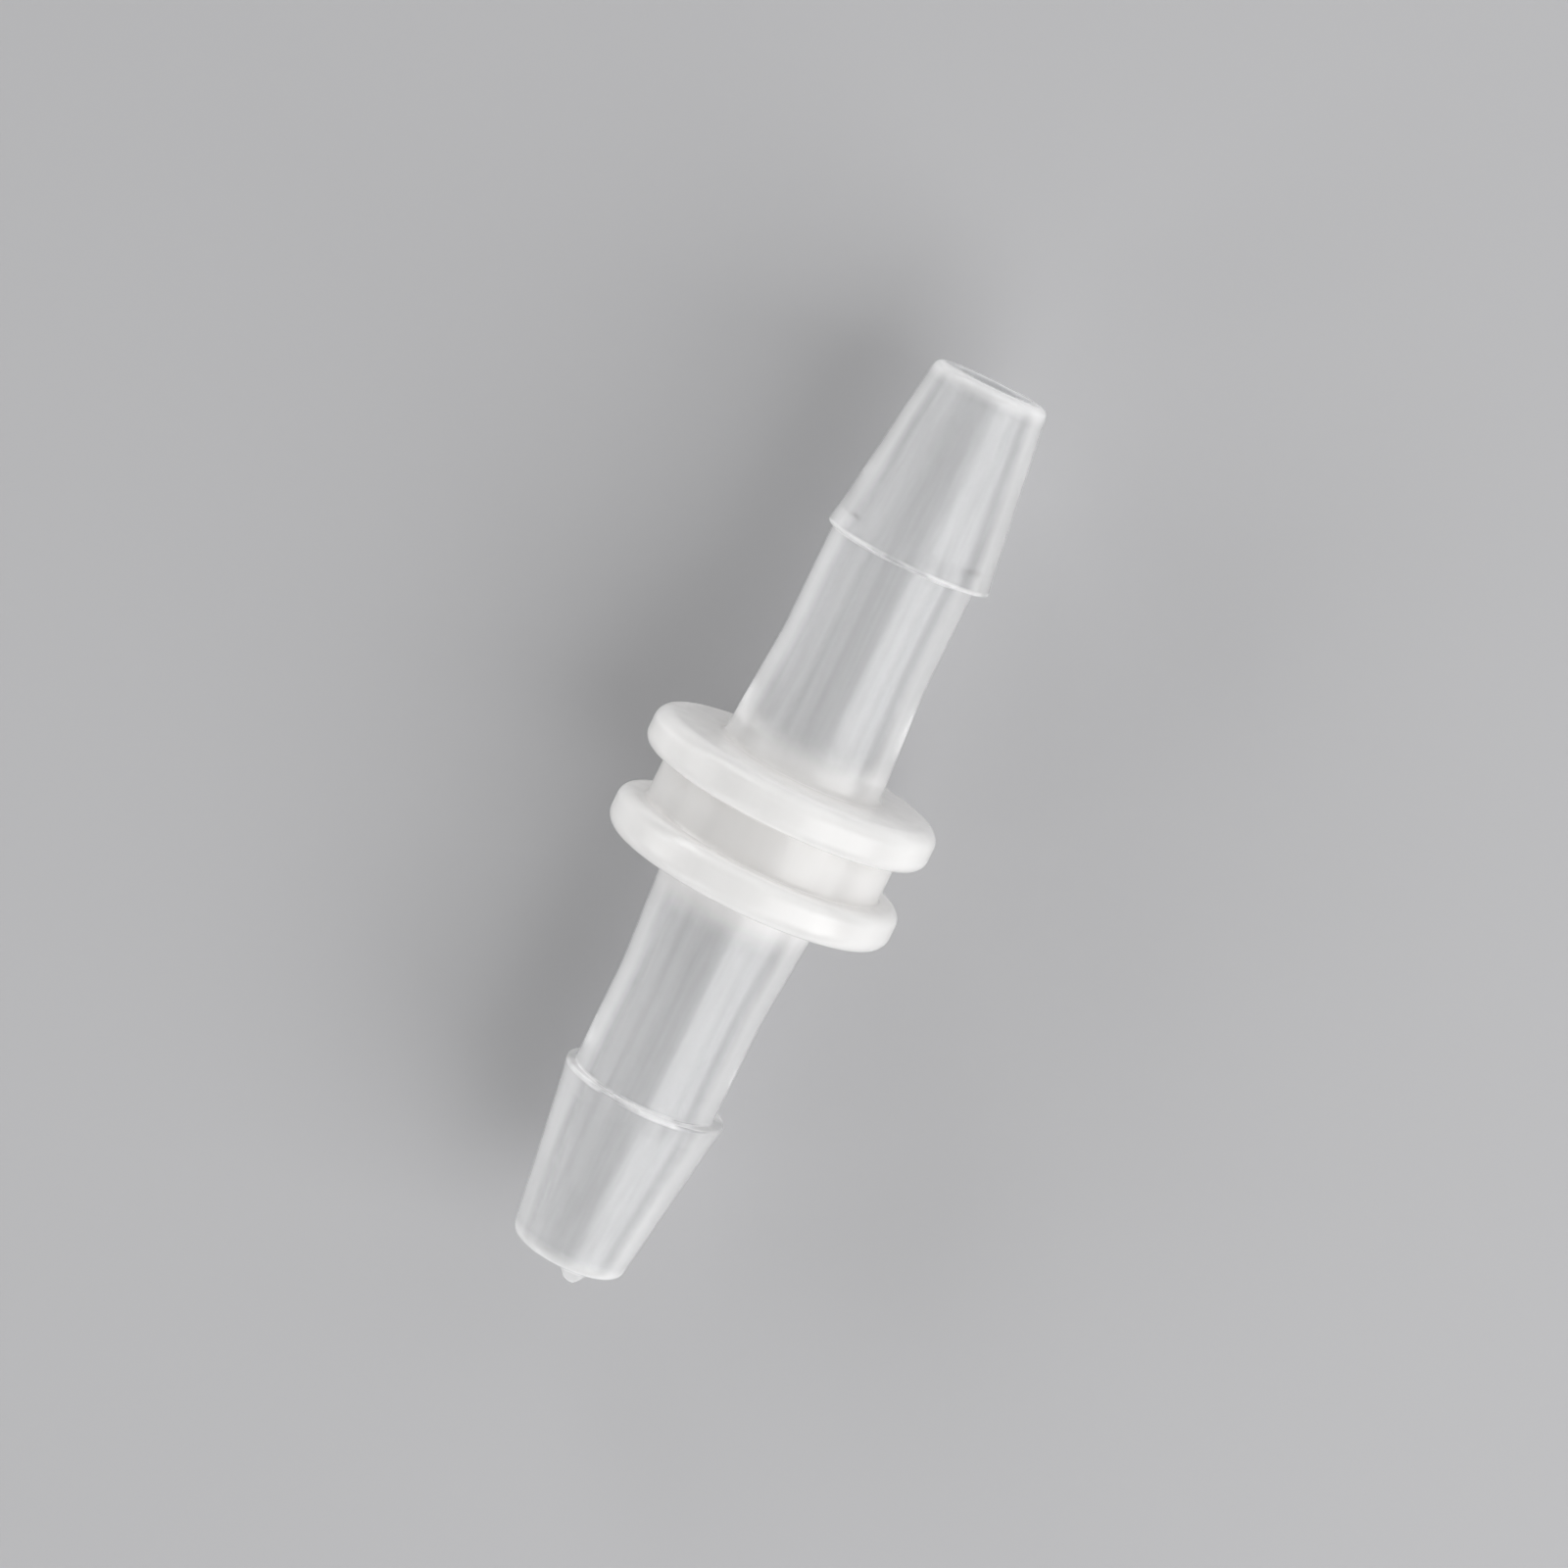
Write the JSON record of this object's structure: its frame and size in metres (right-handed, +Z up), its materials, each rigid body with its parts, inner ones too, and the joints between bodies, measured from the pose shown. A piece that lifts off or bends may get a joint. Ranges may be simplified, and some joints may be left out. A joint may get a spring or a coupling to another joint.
{
  "type": "straight hose barb connector",
  "caption": "Milky plastic straight hose connector with a cone barb on each end, a through bore and a grooved double flange in the middle.",
  "frame": {"origin": "on the surface that the two flanges lie on, under the middle of the hub", "axes": "+X along the bore towards the plain end, with the gate stub's end at -X; +Z up from the surface"},
  "size_m": [0.0305, 0.0094, 0.0094],
  "materials": {
    "milky_polypropylene": "milky, half clear, with the soft gloss of a plain mould wall"
  },
  "bodies": {
    "root": {"barb_connector": "milky_polypropylene"}
  },
  "joints": []
}
